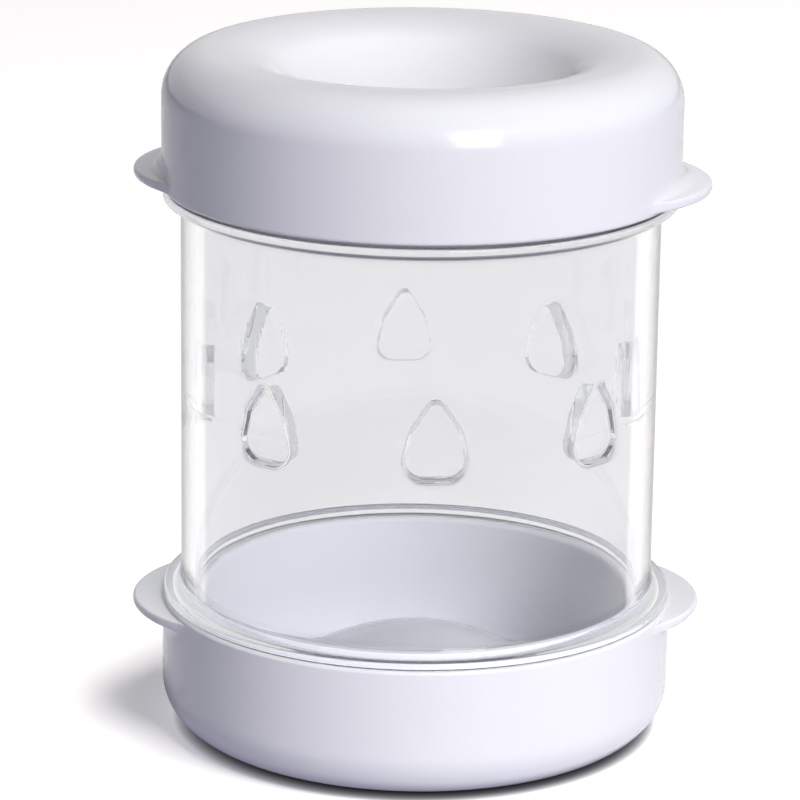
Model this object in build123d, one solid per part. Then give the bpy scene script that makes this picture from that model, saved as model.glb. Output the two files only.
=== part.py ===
# Hand-held peeling shaker: a clear barrel closed at each end by a push-on dished cap with pull tabs.
# Millimetres. Z runs up the barrel. The origin is at the centre of the foot of the lower cap.
# The lower cap's pull tabs lie along X. The front of the part faces minus Y.
import math
import os

from build123d import *

# Driving dimensions: cap
cap_radius = 38.1
cap_height = 20.3
cap_skin = 2.0
foot_edge_radius = 7.0
foot_flat_inner_radius = 29.8
dish_shoulder_radius = 13.0
dish_slope_deg = 42.0
open_edge_round = 0.55
skirt_lead = 0.2
plug_thickness = 1.5
plug_stand_out = 1.0
slot_depth = 15.0
valley_fillet = 1.8

# Driving dimensions: pull tabs of the cap
tab_reach_radius = 42.55
tab_half_angle_deg = 24.0
tab_thickness = 1.4
tab_below_edge = 0.7
tab_root_fillet = 2.2
tab_small_fillet = 0.15
tab_corner_fillet = 3.0
tab_edge_round = 0.45

# Driving dimensions: barrel
barrel_radius = 35.3
barrel_wall = 2.0
visible_barrel = 61.65
spigot_length = 6.5
spigot_inner_lead = 0.4
spigot_outer_lead = 0.3
rim_radius = 37.9
rim_thickness = 1.15
rim_round = 0.3
rim_fillet = 1.6
running_clearance = 0.06

# Driving dimensions: inward nubs of the barrel
nub_count = 8
nub_ring_angle_deg = 2.2
nub_depth = 3.1
nub_centre_above_middle = 1.7
nub_apex_radius = 0.95
nub_apex_height = 4.55
nub_middle_radius = 3.4
nub_foot_radius = 2.6
nub_foot_half_spread = 1.5
nub_foot_drop = 2.9
nub_root_fillet = 1.1
nub_face_round = 0.3

# Driving dimensions: how the caps are put on. The lower one is pushed home, the upper one not quite.
low_edge_gap = 0.05
top_edge_gap = 0.5
top_cap_twist_deg = -9.0

# Derived sizes
total_height = 2 * cap_height + low_edge_gap + visible_barrel + top_edge_gap
low_seat_z = cap_height + low_edge_gap
high_seat_z = low_seat_z + visible_barrel
middle_z = (low_seat_z + high_seat_z) / 2
skirt_inner_radius = barrel_radius + running_clearance
bore_radius = barrel_radius - barrel_wall
plug_outer_radius = bore_radius - running_clearance
plug_inner_radius = plug_outer_radius - plug_thickness


def point_on(centre, radius, angle_deg):
    a = math.radians(angle_deg)
    return (centre[0] + radius * math.cos(a), centre[1] + radius * math.sin(a))


def revolved(edges):
    # A closed outline in the XZ plane, turned once about Z.
    face = make_face(edges)
    return revolve(face, Axis.Z, 360)


def flat(points):
    # A profile point (radius, height) as a point of the XZ plane.
    return [(p[0], 0, p[1]) for p in points]


def line(a, b):
    p, q = flat([a, b])
    return Edge.make_line(p, q)


def arc(a, b, c):
    p, q, r = flat([a, b, c])
    return Edge.make_three_point_arc(p, q, r)


# The cap, modelled once as it stands at the bottom: closed end down, open edge up.

# Outer skin: dish in the middle of the closed end, flat foot ring, rounded edge, straight skirt.
slope = dish_slope_deg
shoulder = (foot_flat_inner_radius, dish_shoulder_radius)
turn = point_on(shoulder, dish_shoulder_radius, 270 - slope)
bowl_radius = turn[0] / math.sin(math.radians(slope))
bowl_centre = (0, turn[1] - bowl_radius * math.cos(math.radians(slope)))
dish_top = bowl_centre[1] + bowl_radius
dish_mid = point_on(bowl_centre, bowl_radius, 90 - slope / 2)
shoulder_mid = point_on(shoulder, dish_shoulder_radius, 270 - slope / 2)
foot_centre = (cap_radius - foot_edge_radius, foot_edge_radius)
foot_start = (foot_centre[0], 0)
foot_mid = point_on(foot_centre, foot_edge_radius, 315)
foot_end = (cap_radius, foot_edge_radius)
edge_low = (cap_radius, cap_height - open_edge_round)
edge_high = (cap_radius - open_edge_round, cap_height)
edge_centre = (cap_radius - open_edge_round, cap_height - open_edge_round)
edge_mid = point_on(edge_centre, open_edge_round, 45)

# Skirt's inner face, close round the barrel, and the round-bottomed slot that takes the barrel's end.
slot_half = (skirt_inner_radius - plug_outer_radius) / 2
slot_axis = (skirt_inner_radius + plug_outer_radius) / 2
slot_floor = cap_height - slot_depth
slot_centre = (slot_axis, slot_floor + slot_half)
skirt_lead_high = (skirt_inner_radius + skirt_lead, cap_height)
skirt_lead_low = (skirt_inner_radius, cap_height - 2 * skirt_lead)
slot_right = (skirt_inner_radius, slot_centre[1])
slot_bottom = (slot_axis, slot_floor)
slot_left = (plug_outer_radius, slot_centre[1])

# Plug: the inner collar that enters the barrel's bore, with a rounded tip.
tip_z = cap_height + plug_stand_out
tip_half = plug_thickness / 2
tip_axis = (plug_outer_radius + plug_inner_radius) / 2
tip_centre = (tip_axis, tip_z - tip_half)
tip_right = (plug_outer_radius, tip_centre[1])
tip_top = (tip_axis, tip_z)
tip_left = (plug_inner_radius, tip_centre[1])

# Inner skin: valley inside the foot ring, then the raised floor over the dish.
valley_centre = (plug_inner_radius - valley_fillet, cap_skin + valley_fillet)
valley_right = (plug_inner_radius, valley_centre[1])
valley_mid = point_on(valley_centre, valley_fillet, 315)
valley_low = (valley_centre[0], cap_skin)
inner_shoulder_radius = dish_shoulder_radius - cap_skin
valley_inner = (shoulder[0], cap_skin)
inner_shoulder_mid = point_on(shoulder, inner_shoulder_radius, 270 - slope / 2)
inner_turn = point_on(shoulder, inner_shoulder_radius, 270 - slope)
floor_radius = bowl_radius + cap_skin
floor_mid = point_on(bowl_centre, floor_radius, 90 - slope / 2)
floor_top = (0, bowl_centre[1] + floor_radius)

cap_outline = [
    arc((0, dish_top), dish_mid, turn),
    arc(turn, shoulder_mid, (shoulder[0], 0)),
    line((shoulder[0], 0), foot_start),
    arc(foot_start, foot_mid, foot_end),
    line(foot_end, edge_low),
    arc(edge_low, edge_mid, edge_high),
    line(edge_high, skirt_lead_high),
    line(skirt_lead_high, skirt_lead_low),
    line(skirt_lead_low, slot_right),
    arc(slot_right, slot_bottom, slot_left),
    line(slot_left, tip_right),
    arc(tip_right, tip_top, tip_left),
    line(tip_left, valley_right),
    arc(valley_right, valley_mid, valley_low),
    line(valley_low, valley_inner),
    arc(valley_inner, inner_shoulder_mid, inner_turn),
    arc(inner_turn, floor_mid, floor_top),
    line(floor_top, (0, dish_top)),
]
cap_body = revolved(cap_outline)

# Pull tabs: a thin ring just behind the open edge with a hollow root fillet, kept only inside two lobes.
tab_high = cap_height - tab_below_edge
tab_low = tab_high - tab_thickness
root = cap_radius - cap_skin / 2
root_centre = (cap_radius + tab_root_fillet, tab_low - tab_root_fillet)
root_mid = point_on(root_centre, tab_root_fillet, 135)
small_centre = (cap_radius + tab_small_fillet, tab_high + tab_small_fillet)
small_mid = point_on(small_centre, tab_small_fillet, 225)
ring_outline = [
    line((root, root_centre[1]), (cap_radius, root_centre[1])),
    arc((cap_radius, root_centre[1]), root_mid, (root_centre[0], tab_low)),
    line((root_centre[0], tab_low), (tab_reach_radius + 1, tab_low)),
    line((tab_reach_radius + 1, tab_low), (tab_reach_radius + 1, tab_high)),
    line((tab_reach_radius + 1, tab_high), (small_centre[0], tab_high)),
    arc((small_centre[0], tab_high), small_mid, (cap_radius, small_centre[1])),
    line((cap_radius, small_centre[1]), (root, small_centre[1])),
    line((root, small_centre[1]), (root, root_centre[1])),
]
tab_ring = revolved(ring_outline)

# Each lobe is a disc set off the axis. Its two inner corners are blended into the skirt's circle.
half = math.radians(tab_half_angle_deg)
lobe_chord = cap_radius * math.sin(half)
lobe_rise = tab_reach_radius - cap_radius * math.cos(half)
lobe_radius = (lobe_chord ** 2 + lobe_rise ** 2) / (2 * lobe_rise)
lobe_offset = tab_reach_radius - lobe_radius
plan = Circle(cap_radius - 0.2)
plan += Pos(lobe_offset, 0) * Circle(lobe_radius)
plan += Pos(-lobe_offset, 0) * Circle(lobe_radius)
plan_corners = [v for v in plan.vertices() if abs(v.Y) > 5]
plan = fillet(plan_corners, tab_corner_fillet)
lobes = extrude(Pos(0, 0, root_centre[1] - 1) * plan, cap_height - root_centre[1] + 1)
tab_solid = tab_ring & lobes

# The rounded outer edges of the tabs.
far_edges = [
    e for e in tab_solid.edges()
    if abs(e.center().X) > cap_radius - 4
    and (abs(e.center().Z - tab_high) < 0.01 or abs(e.center().Z - tab_low) < 0.01)
    and math.hypot(e.center().X, e.center().Y) > cap_radius + 1.5
]
tab_solid = fillet(far_edges, tab_edge_round)

cap = cap_body + tab_solid
bottom_cap = cap

# The top cap is the same moulding, turned over and pushed on a little out of line with the lower one.
top_cap = Pos(0, 0, total_height) * Rot(0, 0, top_cap_twist_deg) * Rot(180, 0, 0) * cap

# The barrel: one clear moulding, the same at both ends, with eight nubs on its bore.

# Outline of one end, from the end of the spigot over the rim to the wall.
# Points are (radius, height), with heights counted from the cap's seat towards the middle.
rim_first_centre = (rim_radius - rim_round, rim_round)
rim_second_centre = (rim_radius - rim_round, rim_thickness - rim_round)
rim_fillet_centre = (barrel_radius + rim_fillet, rim_thickness + rim_fillet)
end_points = [
    (bore_radius, spigot_inner_lead - spigot_length),
    (bore_radius + spigot_inner_lead, -spigot_length),
    (barrel_radius - spigot_outer_lead, -spigot_length),
    (barrel_radius, spigot_outer_lead - spigot_length),
    (barrel_radius, 0),
    (rim_radius - rim_round, 0),
    point_on(rim_first_centre, rim_round, 315),
    (rim_radius, rim_round),
    (rim_radius, rim_thickness - rim_round),
    point_on(rim_second_centre, rim_round, 45),
    (rim_radius - rim_round, rim_thickness),
    (barrel_radius + rim_fillet, rim_thickness),
    point_on(rim_fillet_centre, rim_fillet, 225),
    (barrel_radius, rim_thickness + rim_fillet),
]
low_end = [(r, low_seat_z + h) for r, h in end_points]
high_end = [(r, high_seat_z - h) for r, h in end_points]


def end_edges(p):
    straight = [line(p[i], p[i + 1]) for i in (0, 1, 2, 3, 4, 7, 10)]
    round_ones = [arc(p[i], p[i + 1], p[i + 2]) for i in (5, 8, 11)]
    return straight + round_ones


walls = [line(low_end[-1], high_end[-1]), line(low_end[0], high_end[0])]
# Turned so that the seam of the round faces lies between two nubs.
seam_turn_deg = nub_ring_angle_deg + 180 / nub_count
barrel = Rot(0, 0, seam_turn_deg) * revolved(end_edges(low_end) + end_edges(high_end) + walls)


def drop_outline(extra):
    # A drop, point up: a small circle on top, a middle one and two lower ones, wrapped by a tight band.
    apex = Pos(0, nub_apex_height) * Circle(nub_apex_radius + extra)
    belly = Circle(nub_middle_radius + extra)
    right = Pos(nub_foot_half_spread, -nub_foot_drop) * Circle(nub_foot_radius + extra)
    left = Pos(-nub_foot_half_spread, -nub_foot_drop) * Circle(nub_foot_radius + extra)
    return make_hull(apex.edges() + belly.edges() + right.edges() + left.edges())


# One nub: a flat-faced boss with straight sides and a spread foot. It is sunk into the wall, short of its
# outer face.
# The hollow blend at its foot is made of straight slants: pairs of depth below the straight side and growth.
nub_sink = 0.6
blend_start = nub_depth - nub_root_fillet
nub = extrude(drop_outline(0).face(), blend_start)
face_edges = nub.edges().filter_by_position(Axis.Z, -0.01, 0.01)
nub = fillet(face_edges, nub_face_round)
blend_steps = [
    (0, 0),
    (0.4 * nub_root_fillet, 0.25 * nub_root_fillet),
    (0.65 * nub_root_fillet, 0.7 * nub_root_fillet),
    (nub_root_fillet, 1.05 * nub_root_fillet),
    (nub_root_fillet + nub_sink, 1.4 * nub_root_fillet),
]
for (depth_a, growth_a), (depth_b, growth_b) in zip(blend_steps, blend_steps[1:]):
    inner_loop = Pos(0, 0, blend_start + depth_a) * drop_outline(growth_a)
    outer_loop = Pos(0, 0, blend_start + depth_b) * drop_outline(growth_b)
    nub += loft([inner_loop.face(), outer_loop.face()], ruled=True)

# Local Z of the nub points outward from the axis and local Y points up.
nub_face_distance = bore_radius - nub_depth
nub_z = middle_z + nub_centre_above_middle
for i in range(nub_count):
    turned = nub_ring_angle_deg + i * 360 / nub_count
    a = math.radians(turned)
    outward = (math.sin(a), -math.cos(a), 0)
    sideways = (math.cos(a), math.sin(a), 0)
    start = (nub_face_distance * outward[0], nub_face_distance * outward[1], nub_z)
    place = Plane(origin=start, x_dir=sideways, z_dir=outward)
    barrel += place.location * nub

os.makedirs("parts", exist_ok=True)
parts = {"bottom_cap": bottom_cap, "barrel": barrel, "top_cap": top_cap}
for name, shape in parts.items():
    solid = shape.solids()[0]
    count = len(shape.solids())
    print(name, "solids", count, "valid", solid.is_valid, "volume", round(solid.volume, 1))
    export_step(solid, "parts/" + name + ".step")
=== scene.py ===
import math

import bmesh
import bpy
from mathutils import Matrix, Vector


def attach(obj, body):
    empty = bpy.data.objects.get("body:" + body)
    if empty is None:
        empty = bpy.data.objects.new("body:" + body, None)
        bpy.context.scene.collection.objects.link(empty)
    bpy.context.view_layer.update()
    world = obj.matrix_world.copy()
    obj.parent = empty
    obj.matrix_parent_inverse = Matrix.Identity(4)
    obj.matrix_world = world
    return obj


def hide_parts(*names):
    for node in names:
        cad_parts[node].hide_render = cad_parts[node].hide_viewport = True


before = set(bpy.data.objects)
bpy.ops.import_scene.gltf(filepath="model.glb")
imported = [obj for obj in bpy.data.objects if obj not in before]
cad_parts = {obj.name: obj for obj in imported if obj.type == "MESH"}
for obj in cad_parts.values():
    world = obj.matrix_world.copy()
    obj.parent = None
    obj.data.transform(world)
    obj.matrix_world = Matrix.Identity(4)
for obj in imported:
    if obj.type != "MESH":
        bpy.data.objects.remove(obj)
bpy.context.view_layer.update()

# Bottom cap: one soft white plastic moulding, injection moulded, pushed on over the barrel's end.
# Its closed end is dished, so it stands on a ring. A collar inside enters the bore and seals it.
# A pull tab stands out on each side just behind the open edge.

MM = 0.001
total_height = 102.8

cap_radius = 38.1
cap_height = 20.3
cap_skin = 2.0
foot_edge_radius = 7.0

dish_depth = 11.95
dish_shoulder = 12.86
dish_foot = 24.81
inner_dish_shoulder = 13.63
inner_dish_foot = 25.58

tab_underside = 18.2
tab_top = 19.6
tab_reach = 42.55
tab_half_angle = math.radians(24.0)
tab_root_softness = 0.35
tab_root_sink = 0.02

slot_mouth = 35.56
slot_outer = 35.36
slot_inner = 33.24
slot_floor = 5.3
slot_rounding_top = 7.2
collar_inner = 31.74
collar_top = 21.3
collar_rounding_start = 20.2


def rounded_outline(bm, corners):
    # corners: (radius, height, how far the rounding reaches along each side, pieces in the rounding), in mm
    verts = [bm.verts.new((r * MM, 0, z * MM)) for r, z, reach, pieces in corners]
    for a, b in zip(verts, verts[1:]):
        bm.edges.new((a, b))
    for v, (r, z, reach, pieces) in zip(verts, corners):
        if reach:
            bmesh.ops.bevel(bm, geom=[v], affect="VERTICES", offset=reach * MM, offset_type="OFFSET",
                            segments=pieces, profile=0.5, material=-1, clamp_overlap=False)
    bmesh.ops.remove_doubles(bm, verts=bm.verts[:], dist=1e-7)


def spin_round(bm, steps):
    bmesh.ops.spin(bm, geom=bm.verts[:] + bm.edges[:], cent=(0, 0, 0), axis=(0, 0, 1), dvec=(0, 0, 0),
                   angle=2 * math.pi, steps=steps, use_merge=True, use_normal_flip=False, use_duplicate=False)
    bmesh.ops.remove_doubles(bm, verts=bm.verts[:], dist=1e-7)


def finished(bm, name, sharp_deg):
    bmesh.ops.recalc_face_normals(bm, faces=bm.faces[:])
    mesh = bpy.data.meshes.new(name)
    bm.to_mesh(mesh)
    bm.free()
    mesh.shade_smooth()
    mesh.set_sharp_from_angle(angle=math.radians(sharp_deg))
    piece = bpy.data.objects.new(name, mesh)
    bpy.context.scene.collection.objects.link(piece)
    return piece


def cap_moulding():
    # From the middle of the dish over the foot, the skirt and the tab to the open edge,
    # then down into the slot, over the collar and back to the middle on the inside.
    bm = bmesh.new()
    rounded_outline(bm, [
        (0, dish_depth, 0, 0),
        (dish_shoulder, dish_depth, 12.85, 24),
        (dish_foot, 0, 4.98, 14),
        (cap_radius, 0, foot_edge_radius, 20),
        (cap_radius, 7.8, 0, 0),
        (cap_radius, 15.5, 0, 0),
        (cap_radius, tab_underside, 2.2, 8),
        (tab_reach, tab_underside, 0.55, 5),
        (tab_reach, tab_top, 0.55, 5),
        (cap_radius, tab_top, 0.14, 3),
        (cap_radius, cap_height, 0.55, 7),
        (slot_mouth, cap_height, 0.1, 3),
        (slot_outer, 19.9, 0.1, 3),
        (slot_outer, 19.5, 0, 0),
        (slot_outer, slot_rounding_top, 0, 0),
        (slot_outer, slot_floor, 1.05, 6),
        (slot_inner, slot_floor, 1.05, 6),
        (slot_inner, slot_rounding_top, 0, 0),
        (slot_inner, collar_rounding_start, 0, 0),
        (slot_inner, collar_top, 0.74, 6),
        (collar_inner, collar_top, 0.74, 6),
        (collar_inner, collar_rounding_start, 0, 0),
        (collar_inner, 4.2, 0, 0),
        (collar_inner, cap_skin, 1.8, 6),
        (inner_dish_foot, cap_skin, 4.2, 12),
        (inner_dish_shoulder, dish_depth + cap_skin, 13.6, 24),
        (0, dish_depth + cap_skin, 0, 0)])
    spin_round(bm, 360)
    # The spin carried the tab all the way round: it is drawn in to the skirt everywhere but in two lobes,
    # each the end of a circle whose centre lies on the tab's own middle line.
    chord = cap_radius * math.sin(tab_half_angle)
    rise = tab_reach - cap_radius * math.cos(tab_half_angle)
    lobe = (chord ** 2 + rise ** 2) / (2 * rise)
    centre = tab_reach - lobe
    full = tab_reach - cap_radius
    for v in bm.verts:
        r = math.hypot(v.co.x, v.co.y) / MM
        if r > cap_radius + 0.0005:
            a = math.atan2(abs(v.co.y), abs(v.co.x))
            reach = lobe ** 2 - (centre * math.sin(a)) ** 2
            out = centre * math.cos(a) + math.sqrt(reach) - cap_radius if reach > 0 else -20
            out = (out + math.sqrt(out * out + tab_root_softness)) / 2 - tab_root_sink
            share = max(out, 0) / full
            scale = (cap_radius + (r - cap_radius) * min(share, 1)) / r
            v.co.x *= scale
            v.co.y *= scale
    bmesh.ops.remove_doubles(bm, verts=bm.verts[:], dist=2e-6)
    return bm


def maths(n, l, operation, *values, clamp=False):
    # values: numbers or other nodes' outputs, in the order of the node's inputs
    node = n.new("ShaderNodeMath")
    node.operation = operation
    node.use_clamp = clamp
    for socket, value in zip(node.inputs, values):
        if isinstance(value, bpy.types.NodeSocket):
            l.new(value, socket)
        else:
            socket.default_value = value
    return node.outputs["Value"]


def stretched(n, l, value, start, end, first=0.0, last=1.0, smooth=False):
    # value from start to end becomes first to last
    node = n.new("ShaderNodeMapRange")
    node.interpolation_type = "SMOOTHSTEP" if smooth else "LINEAR"
    node.inputs["From Min"].default_value = start
    node.inputs["From Max"].default_value = end
    node.inputs["To Min"].default_value = first
    node.inputs["To Max"].default_value = last
    l.new(value, node.inputs["Value"])
    return node.outputs["Result"]


def blended(n, l, share, a, b):
    # a and b: colours or other nodes' outputs
    node = n.new("ShaderNodeMix")
    node.data_type = "RGBA"
    l.new(share, node.inputs["Factor"])
    for socket, value in ((node.inputs["A"], a), (node.inputs["B"], b)):
        if isinstance(value, bpy.types.NodeSocket):
            l.new(value, socket)
        else:
            socket.default_value = value
    return node.outputs["Result"]


def measured_place(n, l):
    # a point's place on the piece, how far it is from the axis, and how high
    place = n.new("ShaderNodeTexCoord").outputs["Object"]
    flat = n.new("ShaderNodeVectorMath")
    flat.operation = "MULTIPLY"
    flat.inputs[1].default_value = (1, 1, 0)
    l.new(place, flat.inputs[0])
    from_axis = n.new("ShaderNodeVectorMath")
    from_axis.operation = "LENGTH"
    l.new(flat.outputs["Vector"], from_axis.inputs[0])
    split = n.new("ShaderNodeSeparateXYZ")
    l.new(place, split.inputs["Vector"])
    return place, from_axis.outputs["Value"], split.outputs["Z"]


def plastic_skin_group():
    # Marks that every handled plastic piece has: soft mottle, fine grain and short rubbed scratches.
    g = bpy.data.node_groups.new("plastic skin", "ShaderNodeTree")
    for name, kind, side, value in (
            ("Vector", "NodeSocketVector", "INPUT", None), ("Grain size", "NodeSocketFloat", "INPUT", 900.0),
            ("Mottle size", "NodeSocketFloat", "INPUT", 60.0),
            ("Mottle", "NodeSocketFloat", "OUTPUT", None), ("Grain", "NodeSocketFloat", "OUTPUT", None),
            ("Scratches", "NodeSocketFloat", "OUTPUT", None)):
        s = g.interface.new_socket(name=name, in_out=side, socket_type=kind)
        if value is not None:
            s.default_value = value
    n, l = g.nodes, g.links
    gin, gout = n.new("NodeGroupInput"), n.new("NodeGroupOutput")
    mottle = n.new("ShaderNodeTexNoise")
    mottle.inputs["Detail"].default_value = 4
    mottle.inputs["Roughness"].default_value = 0.55
    l.new(gin.outputs["Vector"], mottle.inputs["Vector"])
    l.new(gin.outputs["Mottle size"], mottle.inputs["Scale"])
    l.new(mottle.outputs["Fac"], gout.inputs["Mottle"])
    grain = n.new("ShaderNodeTexNoise")
    grain.inputs["Detail"].default_value = 2
    l.new(gin.outputs["Vector"], grain.inputs["Vector"])
    l.new(gin.outputs["Grain size"], grain.inputs["Scale"])
    l.new(grain.outputs["Fac"], gout.inputs["Grain"])
    # Scratches: a stretched and warped noise, kept only where it crosses its middle value.
    bend = n.new("ShaderNodeTexNoise")
    bend.inputs["Scale"].default_value = 35
    bent = n.new("ShaderNodeVectorMath")
    bent.operation = "MULTIPLY_ADD"
    bent.inputs[1].default_value = (0.012, 0.012, 0.012)
    l.new(gin.outputs["Vector"], bend.inputs["Vector"])
    l.new(bend.outputs["Color"], bent.inputs[0])
    l.new(gin.outputs["Vector"], bent.inputs[2])
    stretch = n.new("ShaderNodeMapping")
    stretch.inputs["Rotation"].default_value = (0.5, 0.9, 0.4)
    stretch.inputs["Scale"].default_value = (40, 340, 55)
    line = n.new("ShaderNodeTexNoise")
    line.inputs["Scale"].default_value = 1
    line.inputs["Detail"].default_value = 3
    l.new(bent.outputs["Vector"], stretch.inputs["Vector"])
    l.new(stretch.outputs["Vector"], line.inputs["Vector"])
    near = maths(n, l, "COMPARE", line.outputs["Fac"], 0.5, 0.006)
    where = stretched(n, l, mottle.outputs["Fac"], 0.52, 0.68)
    l.new(maths(n, l, "MULTIPLY", near, where), gout.inputs["Scratches"])
    return g


plastic_skin = plastic_skin_group()


def skin_marks(n, l, place, grain_size, mottle_size):
    skin = n.new("ShaderNodeGroup")
    skin.node_tree = plastic_skin
    skin.inputs["Grain size"].default_value = grain_size
    skin.inputs["Mottle size"].default_value = mottle_size
    l.new(place, skin.inputs["Vector"])
    return skin.outputs["Mottle"], skin.outputs["Grain"], skin.outputs["Scratches"]


def uneven_surface(n, l, surface, height, strength, depth):
    bump = n.new("ShaderNodeBump")
    bump.inputs["Strength"].default_value = strength
    bump.inputs["Distance"].default_value = depth
    l.new(height, bump.inputs["Height"])
    l.new(bump.outputs["Normal"], surface.inputs["Normal"])


def soft_white_plastic():
    m = bpy.data.materials.new("soft white plastic")
    m.use_nodes = True
    n, l = m.node_tree.nodes, m.node_tree.links
    surface = n["Principled BSDF"]
    surface.inputs["IOR"].default_value = 1.5
    place, from_axis, height = measured_place(n, l)
    mottle, grain, scratches = skin_marks(n, l, place, grain_size=1500, mottle_size=45)
    colour = blended(n, l, mottle, (0.800, 0.800, 0.855, 1), (0.850, 0.850, 0.890, 1))
    l.new(colour, surface.inputs["Base Color"])
    rough = stretched(n, l, mottle, 0.3, 0.7, 0.09, 0.13)
    l.new(maths(n, l, "MULTIPLY_ADD", scratches, 0.12, rough), surface.inputs["Roughness"])
    uneven_surface(n, l, surface, grain, 0.18, 0.00012)
    # Painted glow: seen through the clear barrel, the faces of its slot give off light, standing in for the
    # light that the soft plastic lets through.
    painted_slot_glow = 0.5
    slot_middle = (slot_outer + slot_inner) / 2
    slot_half = (slot_outer - slot_inner) / 2 + 0.14
    between_floors = total_height / 2 - slot_floor + 0.3
    slot = maths(n, l, "COMPARE", from_axis, slot_middle * MM, slot_half * MM)
    inside = maths(n, l, "COMPARE", height, total_height / 2 * MM, between_floors * MM)
    painted_glow_faces = maths(n, l, "MULTIPLY", slot, inside)
    path = n.new("ShaderNodeLightPath")
    seen = maths(n, l, "MULTIPLY", painted_glow_faces, path.outputs["Is Transmission Ray"])
    l.new(colour, surface.inputs["Emission Color"])
    l.new(maths(n, l, "MULTIPLY", seen, painted_slot_glow), surface.inputs["Emission Strength"])
    return m


cap_plastic = soft_white_plastic()

bottom_cap = finished(cap_moulding(), "bottom_cap_shell", 40)
bottom_cap.data.materials.append(cap_plastic)
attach(bottom_cap, "bottom_cap")
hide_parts("bottom_cap")

# Barrel: one water-clear hard plastic moulding, polished, the same at both ends.
# A rim stops each cap, a plain spigot goes on into the cap's slot, and eight flat drop-shaped nubs
# stand in from the bore. A hair-thin parting line runs round just above the middle.

barrel_radius = 35.3
bore_radius = 33.3
low_seat = 20.35
high_seat = 82.0
spigot_length = 6.5
rim_radius = 37.9
rim_thickness = 1.15
rim_round = 0.3
rim_fillet = 1.6
wall_margin = 2.425

parting_line = 51.8
line_rise = 0.02
line_half_width = 0.05
line_foot = 0.16
line_margin = 0.6

nub_count = 8
nub_depth = 3.1
nub_height = 52.9
nub_face_round = 0.3
nub_side_start = 0.5
nub_draft = 0.08
root_blend = 1.1
root_reach = 1.35
nub_sunk_end = 0.8
nub_turn = math.radians(2.2)
# The nub's outline is drawn round four discs, (sideways, up, radius): its point, its middle, its two feet.
nub_discs = ((0, 4.55, 0.95), (0, 0, 3.4), (1.5, -2.9, 2.6), (-1.5, -2.9, 2.6))


def barrel_tube():
    # One end from the bore over the spigot's end and the rim to the wall, counted from the cap's seat.
    end = [
        (bore_radius, 0.9 - spigot_length, 0, 0),
        (bore_radius, 0.4 - spigot_length, 0.15, 2),
        (bore_radius + 0.4, -spigot_length, 0.1, 2),
        (barrel_radius - 0.3, -spigot_length, 0.15, 2),
        (barrel_radius, 0.3 - spigot_length, 0, 0),
        (barrel_radius, 0, 0.12, 2),
        (rim_radius, 0, rim_round, 5),
        (rim_radius, rim_thickness, rim_round, 5),
        (barrel_radius + 1.8, rim_thickness, 0, 0),
        (barrel_radius, rim_thickness, rim_fillet, 16),
        (barrel_radius, 3.3, 0, 0)]
    line = [(barrel_radius, parting_line - line_margin), (barrel_radius, parting_line - line_foot),
            (barrel_radius + line_rise, parting_line - line_half_width),
            (barrel_radius + line_rise, parting_line + line_half_width),
            (barrel_radius, parting_line + line_foot), (barrel_radius, parting_line + line_margin)]
    bm = bmesh.new()
    rounded_outline(bm, [(r, low_seat + h, reach, pieces) for r, h, reach, pieces in end]
                    + [(r, z, 0, 0) for r, z in line]
                    + [(r, high_seat - h, reach, pieces) for r, h, reach, pieces in reversed(end)])
    ends = [v for v in bm.verts if len(v.link_edges) == 1]
    bm.edges.new(ends)
    spin_round(bm, 360)
    return bm


def nub_ring():
    # Each nub is one ring of points, swept from its flat face out to the bore and on into the wall.
    bm = bmesh.new()
    side = bm.verts.layers.float_vector.new("side")
    # steps: (how far inside the bore, how much wider than the flat face's outline)
    steps = [(nub_depth - nub_face_round * (1 - math.sin(t)), nub_face_round * (math.cos(t) - 1))
             for t in (math.radians(90 - 15 * i) for i in range(7))]
    steps += [(nub_depth - nub_side_start, 0), (root_blend + 0.1, nub_draft)]
    steps += [(root_blend * (1 - math.sin(t)), nub_draft + root_blend * (1 - math.cos(t)))
              for t in (math.radians(8 * i) for i in range(11))]
    steps += [(-0.06, nub_draft + root_reach)]

    def shape(ring, height, growth, follow):
        # A drop with the point up: the furthest of the four discs in each direction.
        for v in ring:
            n = v[side]
            x, z, r = max(nub_discs, key=lambda c: c[0] * n.x + c[1] * n.z + c[2])
            x += (r + growth) * n.x
            z += (r + growth) * n.z
            out = (math.sqrt(bore_radius ** 2 - x ** 2) if follow else bore_radius) - height
            v.co = (x * MM, -out * MM, z * MM)

    def one_step_on(edges, height, growth, follow):
        grown = bmesh.ops.extrude_edge_only(bm, edges=edges)["geom"]
        shape([g for g in grown if isinstance(g, bmesh.types.BMVert)], height, growth, follow)
        return [g for g in grown if isinstance(g, bmesh.types.BMEdge) and g.is_boundary]

    bmesh.ops.create_circle(bm, cap_ends=False, segments=144, radius=1,
                            matrix=Matrix.Rotation(math.pi / 2, 4, "X"))
    for v in bm.verts:
        v[side] = v.co.normalized()
    edges = bm.edges[:]
    shape(bm.verts[:], *steps[0], False)
    bmesh.ops.contextual_create(bm, geom=edges)
    for height, growth in steps[1:]:
        edges = one_step_on(edges, height, growth, follow=height < root_blend + 0.2)
    edges = one_step_on(edges, -nub_sunk_end, nub_draft + root_reach, follow=False)
    bmesh.ops.contextual_create(bm, geom=edges)
    bmesh.ops.translate(bm, vec=(0, 0, nub_height * MM), verts=bm.verts[:])
    bmesh.ops.rotate(bm, cent=(0, 0, 0), matrix=Matrix.Rotation(nub_turn, 3, "Z"), verts=bm.verts[:])
    one = bm.verts[:] + bm.edges[:] + bm.faces[:]
    for i in range(1, nub_count):
        copy = bmesh.ops.duplicate(bm, geom=one)["geom"]
        bmesh.ops.rotate(bm, cent=(0, 0, 0), matrix=Matrix.Rotation(i * 2 * math.pi / nub_count, 3, "Z"),
                         verts=[e for e in copy if isinstance(e, bmesh.types.BMVert)])
    for f in bm.faces:
        f.material_index = 1
    return bm


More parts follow.
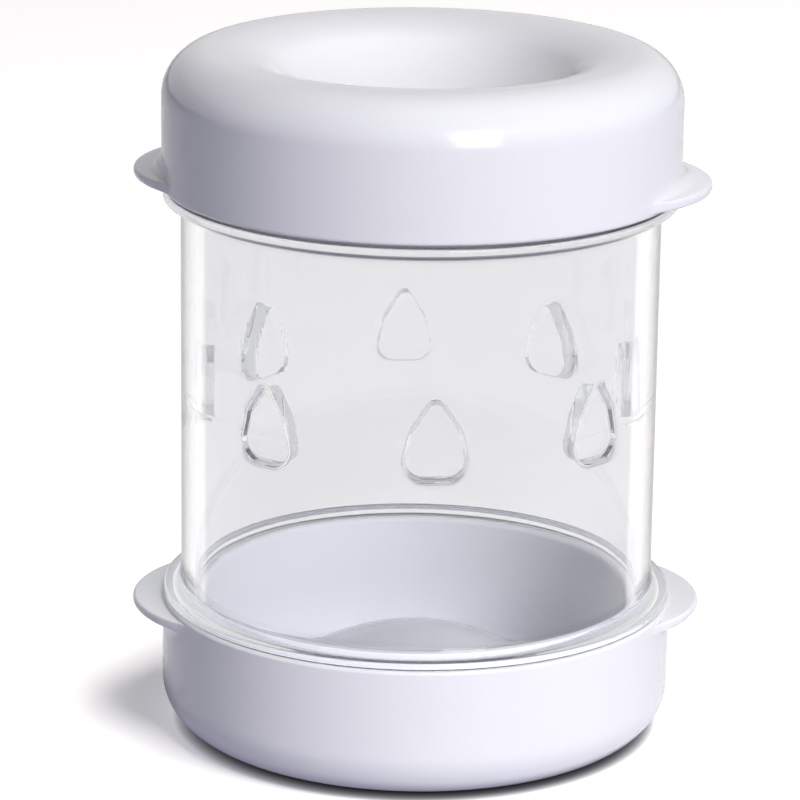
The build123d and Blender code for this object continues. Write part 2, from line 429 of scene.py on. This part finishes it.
def joined(piece, other):
    # The nubs and the tube are one moulding, so their solids are made one closed mesh.
    # The line where they meet is kept crisp, so that the bore's long faces stay truly straight.
    union = piece.modifiers.new("join", "BOOLEAN")
    union.operation = "UNION"
    union.solver = "EXACT"
    union.material_mode = "INDEX"
    union.object = other
    bpy.context.view_layer.update()
    mesh = bpy.data.meshes.new_from_object(piece.evaluated_get(bpy.context.evaluated_depsgraph_get()))
    piece.modifiers.clear()
    piece.data = mesh
    bpy.data.objects.remove(other)
    bm = bmesh.new()
    bm.from_mesh(mesh)
    bmesh.ops.remove_doubles(bm, verts=bm.verts[:], dist=1e-7)
    for e in bm.edges:
        if len({f.material_index for f in e.link_faces}) > 1:
            e.smooth = False
    for f in bm.faces:
        # The nubs' own faces are the only ones of theirs with so many corners, and they are truly flat.
        if f.material_index == 1 and len(f.verts) > 100:
            f.smooth = False
        f.material_index = 0
    bm.to_mesh(mesh)
    bm.free()


def clear_plastic():
    m = bpy.data.materials.new("clear hard plastic")
    m.use_nodes = True
    n, l = m.node_tree.nodes, m.node_tree.links
    surface = n["Principled BSDF"]
    surface.inputs["Transmission Weight"].default_value = 1.0
    surface.inputs["Metallic"].default_value = 0.0
    surface.inputs["IOR"].default_value = 1.5
    place, from_axis, height = measured_place(n, l)
    mottle, grain, scratches = skin_marks(n, l, place, grain_size=700, mottle_size=30)
    tint = blended(n, l, mottle, (0.820, 0.828, 0.845, 1), (0.858, 0.866, 0.880, 1))

    # Where on the moulding a point is: on the outside, on the wall between the rims' fillets, on the lower
    # rim's outer corner where it meets the cap, or on the upper rim's seat. These last two are painted
    # near-black: painted shade in the gap above the lower cap, and the top cap's shadow painted on the upper
    # seat.
    wall_middle = (low_seat + high_seat) / 2
    wall_half = (high_seat - low_seat) / 2 - wall_margin
    outside = maths(n, l, "GREATER_THAN", from_axis, (barrel_radius - 0.2) * MM)
    between_rims = maths(n, l, "COMPARE", height, wall_middle * MM, wall_half * MM)
    outer_wall = maths(n, l, "MULTIPLY", outside, between_rims)
    rim_foot = maths(n, l, "LESS_THAN", height, (low_seat + 0.28) * MM)
    rim_face = maths(n, l, "GREATER_THAN", from_axis, (rim_radius - 0.24) * MM)
    painted_gap_shade = maths(n, l, "MULTIPLY", rim_foot, rim_face)
    at_seat = maths(n, l, "COMPARE", height, high_seat * MM, 0.07 * MM)
    under_cap = maths(n, l, "LESS_THAN", from_axis, (rim_radius - 0.5) * MM)
    painted_seat_shadow = maths(n, l, "MULTIPLY", at_seat, under_cap)

    # Where the outer wall is seen nearly edge on, light runs on inside it, and this is painted: first a white
    # band, painted clearer and glowing as a painted highlight, then painted grey shade to the very edge. The
    # rims' own rounded edges are painted grey in the same way.
    painted_band_glow = 0.11
    edge = n.new("ShaderNodeLayerWeight")
    edge.inputs["Blend"].default_value = 0.5
    facing = edge.outputs["Facing"]
    band_start = stretched(n, l, facing, 0.56, 0.60, smooth=True)
    band_end = stretched(n, l, facing, 0.655, 0.70, smooth=True)
    long_way = stretched(n, l, facing, 0.66, 0.92, smooth=True)
    very_edge = stretched(n, l, facing, 0.80, 0.95, smooth=True)
    painted_white_band = maths(n, l, "MULTIPLY", band_start, outer_wall)
    painted_wall_edge_shade = maths(n, l, "MULTIPLY", long_way, outer_wall)
    painted_rim_edge_shade = maths(n, l, "MULTIPLY", very_edge, outside)
    painted_dark = maths(n, l, "MAXIMUM", maths(n, l, "MAXIMUM", painted_wall_edge_shade, painted_rim_edge_shade),
                 maths(n, l, "MAXIMUM", painted_gap_shade, painted_seat_shadow))
    painted_band_tint = blended(n, l, painted_white_band, tint, (1, 1, 1, 1))
    l.new(blended(n, l, painted_dark, painted_band_tint, (0.03, 0.03, 0.035, 1)), surface.inputs["Base Color"])
    # Painted highlight: the white band also gives off light.
    painted_band_glow_share = maths(n, l, "SUBTRACT", painted_white_band, band_end, clamp=True)
    l.new(maths(n, l, "MULTIPLY", painted_band_glow_share, painted_band_glow), surface.inputs["Emission Strength"])
    l.new(maths(n, l, "MULTIPLY_ADD", scratches, 0.10, 0.015), surface.inputs["Roughness"])
    uneven_surface(n, l, surface, mottle, 0.05, 0.0002)

    # Painted glow: a light path that has run to and fro in the plastic many times ends in an even pale
    # emission.
    many_times = 7.5
    path = n.new("ShaderNodeLightPath")
    often = maths(n, l, "GREATER_THAN", path.outputs["Ray Depth"], many_times)
    direct = maths(n, l, "LESS_THAN", path.outputs["Diffuse Depth"], 0.5)
    painted_pale_glow = n.new("ShaderNodeEmission")
    painted_pale_glow.inputs["Color"].default_value = (0.78, 0.79, 0.80, 1)
    painted_pale_glow.inputs["Strength"].default_value = 1.0
    body = n.new("ShaderNodeMixShader")
    l.new(maths(n, l, "MULTIPLY", often, direct), body.inputs["Fac"])
    l.new(surface.outputs["BSDF"], body.inputs[1])
    l.new(painted_pale_glow.outputs["Emission"], body.inputs[2])
    # Light reaches what stands behind the clear wall, so the wall casts almost no shadow.
    through = n.new("ShaderNodeBsdfTransparent")
    through.inputs["Color"].default_value = (0.93, 0.94, 0.95, 1)
    mix = n.new("ShaderNodeMixShader")
    l.new(path.outputs["Is Shadow Ray"], mix.inputs["Fac"])
    l.new(body.outputs["Shader"], mix.inputs[1])
    l.new(through.outputs["BSDF"], mix.inputs[2])
    l.new(mix.outputs["Shader"], n["Material Output"].inputs["Surface"])
    return m


barrel = finished(barrel_tube(), "barrel_shell", 35)
joined(barrel, finished(nub_ring(), "nubs", 35))
barrel.data.materials.clear()
barrel.data.materials.append(clear_plastic())
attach(barrel, "barrel")
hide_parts("barrel")

# Top cap: the same moulding as the bottom cap, turned over and pushed on over the barrel's other end.
# It sits a few degrees out of line with the bottom cap, as it was pushed on by hand.

top_cap_turn = math.radians(-9.0)

bm = cap_moulding()
bmesh.ops.rotate(bm, cent=(0, 0, 0), matrix=Matrix.Rotation(math.pi, 3, "X"), verts=bm.verts[:])
bmesh.ops.rotate(bm, cent=(0, 0, 0), matrix=Matrix.Rotation(top_cap_turn, 3, "Z"), verts=bm.verts[:])
bmesh.ops.translate(bm, vec=(0, 0, total_height * MM), verts=bm.verts[:])
top_cap = finished(bm, "top_cap_shell", 40)
top_cap.data.materials.append(cap_plastic)
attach(top_cap, "top_cap")
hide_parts("top_cap")

# Floor: a plain white table top that runs far back. It keeps the shadow and is otherwise white.
# It lies a hair below the foot ring.

floor_half = 4.0
floor_drop = 0.00005


def first_sight(n, l):
    # 1 for what is seen directly, mirrored or through the clear wall; 0 for light that lights other surfaces
    path = n.new("ShaderNodeLightPath")
    mirrored = maths(n, l, "MAXIMUM", path.outputs["Is Glossy Ray"], path.outputs["Is Transmission Ray"])
    seen = maths(n, l, "MAXIMUM", path.outputs["Is Camera Ray"], mirrored)
    direct = maths(n, l, "LESS_THAN", path.outputs["Diffuse Depth"], 0.5)
    return maths(n, l, "MULTIPLY", seen, direct)


def white_table():
    m = bpy.data.materials.new("white table")
    m.use_nodes = True
    n, l = m.node_tree.nodes, m.node_tree.links
    n.remove(n["Principled BSDF"])
    # Painted shade: close under the cap's rounded edge the table's paint and its white glow are darkened.
    nook_reach = 2.0
    painted_nook_shade = n.new("ShaderNodeAmbientOcclusion")
    painted_nook_shade.inputs["Distance"].default_value = nook_reach * MM
    open_sky = maths(n, l, "POWER", painted_nook_shade.outputs["AO"], 1.3)
    shade = n.new("ShaderNodeVectorMath")
    shade.operation = "SCALE"
    shade.inputs[0].default_value = (0.90, 0.885, 0.88)
    l.new(open_sky, shade.inputs["Scale"])
    paint = n.new("ShaderNodeBsdfDiffuse")
    l.new(shade.outputs["Vector"], paint.inputs["Color"])
    # The white lift is weak where gloss mirrors the table, so that the caps' skirts stay soft grey.
    path = n.new("ShaderNodeLightPath")
    in_gloss = maths(n, l, "SUBTRACT", path.outputs["Is Glossy Ray"], path.outputs["Is Transmission Ray"],
                     clamp=True)
    lift = stretched(n, l, in_gloss, 0.0, 1.0, 0.36, 0.08)
    glow = n.new("ShaderNodeEmission")
    glow.inputs["Color"].default_value = (1.0, 0.985, 0.98, 1)
    l.new(maths(n, l, "MULTIPLY", lift, open_sky), glow.inputs["Strength"])
    both = n.new("ShaderNodeAddShader")
    l.new(paint.outputs["BSDF"], both.inputs[0])
    l.new(glow.outputs["Emission"], both.inputs[1])
    # What the table throws back on the object, but not from under its foot.
    place, from_axis, height = measured_place(n, l)
    bounce = n.new("ShaderNodeEmission")
    bounce.inputs["Color"].default_value = (0.79, 0.78, 1.0, 1)
    l.new(stretched(n, l, from_axis, 0.0305, 0.0335, 0.0, 0.5), bounce.inputs["Strength"])
    pick = n.new("ShaderNodeMixShader")
    l.new(first_sight(n, l), pick.inputs["Fac"])
    l.new(bounce.outputs["Emission"], pick.inputs[1])
    l.new(both.outputs["Shader"], pick.inputs[2])
    l.new(pick.outputs["Shader"], n["Material Output"].inputs["Surface"])
    return m


bm = bmesh.new()
bmesh.ops.create_grid(bm, x_segments=2, y_segments=2, size=floor_half,
                      matrix=Matrix.Translation((0, 0, -floor_drop)))
floor = finished(bm, "floor", 40)
floor.data.materials.append(white_table())

# Studio: pale room light and six soft lamps. The key stands high on the right and models the pieces,
# the front lamp is the window seen in the gloss, crown and fill come from overhead, low lifts the lower
# cap's skirt, and the lamp above the table lights the table alone, where the lower cap casts its shadow.

world = bpy.data.worlds.new("studio")
bpy.context.scene.world = world
world.use_nodes = True
n, l = world.node_tree.nodes, world.node_tree.links
room = n["Background"]
room.inputs["Color"].default_value = (0.82, 0.81, 1.0, 1)
room.inputs["Strength"].default_value = 0.05
# What glass and gloss show of the room: white round about and darker overhead.
coords = n.new("ShaderNodeTexCoord")
axes = n.new("ShaderNodeSeparateXYZ")
l.new(coords.outputs["Generated"], axes.inputs["Vector"])
around = n.new("ShaderNodeBackground")
l.new(stretched(n, l, axes.outputs["Z"], 0.35, 0.85, 1.0, 0.45, smooth=True), around.inputs["Strength"])
inside = n.new("ShaderNodeMixShader")
l.new(first_sight(n, l), inside.inputs["Fac"])
l.new(room.outputs["Background"], inside.inputs[1])
l.new(around.outputs["Background"], inside.inputs[2])
white = n.new("ShaderNodeBackground")
white.inputs["Color"].default_value = (1, 1, 1, 1)
white.inputs["Strength"].default_value = 1.0
path = n.new("ShaderNodeLightPath")
pick = n.new("ShaderNodeMixShader")
l.new(path.outputs["Is Camera Ray"], pick.inputs["Fac"])
l.new(inside.outputs["Shader"], pick.inputs[1])
l.new(white.outputs["Background"], pick.inputs[2])
l.new(pick.outputs["Shader"], n["World Output"].inputs["Surface"])

lamp_aim = Vector((0, 0, 0.05))


def soft_lamp(name, azimuth, elevation, distance, size, power, lights, colour=(1.0, 1.0, 1.0), mirrored=False):
    # azimuth is counted from the front towards the right, in degrees
    a, e = math.radians(azimuth), math.radians(elevation)
    d = Vector((math.sin(a) * math.cos(e), -math.cos(a) * math.cos(e), math.sin(e)))
    light = bpy.data.lights.new(name, "AREA")
    light.shape = "RECTANGLE"
    light.size, light.size_y = size
    light.energy = power
    light.color = colour
    lamp = bpy.data.objects.new(name, light)
    bpy.context.scene.collection.objects.link(lamp)
    lamp.location = lamp_aim + d * distance
    lamp.rotation_euler = d.to_track_quat("Z", "Y").to_euler()
    # A lamp either shows in the gloss or lights the surface, and none is seen through the clear wall.
    lamp.visible_glossy = mirrored
    lamp.visible_diffuse = not mirrored
    lamp.visible_transmission = False
    lit = bpy.data.collections.new("lit by " + name)
    for piece in lights:
        lit.objects.link(piece)
    lamp.light_linking.receiver_collection = lit
    return lamp


# name, azimuth, elevation, distance in metres, size in metres, power in watts, what it lights
pieces = (bottom_cap, barrel, top_cap)
soft_lamp("key", 34, 31, 3.0, (1.2, 1.2), 84, pieces, colour=(1.0, 0.995, 0.985))
soft_lamp("front", 21, 16, 1.6, (0.57, 1.10), 8.5, pieces, mirrored=True)
soft_lamp("crown", 20, 82, 2.0, (1.2, 1.2), 10.5, pieces)
soft_lamp("low", 30, 5, 2.0, (0.8, 0.2), 4.5, (bottom_cap,))
fill = soft_lamp("fill", -50, 80, 2.0, (0.8, 0.8), 7.0, (bottom_cap,))
above = soft_lamp("above", 42, 62, 2.4, (1.3, 1.3), 64.0, (floor,), colour=(1.0, 0.99, 0.985))
# These two pass the upper pieces: only the lower cap stands in their way.
in_the_way = bpy.data.collections.new("in the way of the light")
in_the_way.objects.link(bottom_cap)
for lamp in (fill, above):
    lamp.light_linking.blocker_collection = in_the_way

# Camera: from a little above the front, with the long lens that the object's outlines give.

camera_distance = 0.614
camera_elevation = math.radians(16.13)
camera_azimuth = math.radians(-1.96)
camera_roll = math.radians(0.763)
aim_sideways = -0.002736
aim_height = 0.04953
picture_width = 800
focal_length_in_pixels = 4124.9

back = Vector((math.sin(camera_azimuth) * math.cos(camera_elevation),
               -math.cos(camera_azimuth) * math.cos(camera_elevation), math.sin(camera_elevation)))
right = Vector((math.cos(camera_azimuth), math.sin(camera_azimuth), 0))
up = back.cross(right)
aim = right * aim_sideways + Vector((0, 0, aim_height))
side = right * math.cos(camera_roll) + up * math.sin(camera_roll)
top = up * math.cos(camera_roll) - right * math.sin(camera_roll)
lens = bpy.data.cameras.new("camera")
lens.sensor_width = 36
lens.lens = focal_length_in_pixels / picture_width * lens.sensor_width
camera = bpy.data.objects.new("camera", lens)
bpy.context.scene.collection.objects.link(camera)
turn = Matrix((side, top, back)).transposed()
camera.matrix_world = Matrix.Translation(aim + back * camera_distance) @ turn.to_4x4()
bpy.context.scene.camera = camera

bpy.context.scene.view_settings.view_transform = "Standard"
# The clear barrel needs long light paths: each wall is crossed twice, and light runs on inside it.
bpy.context.scene.cycles.max_bounces = 24
bpy.context.scene.cycles.glossy_bounces = 16
bpy.context.scene.cycles.transmission_bounces = 24
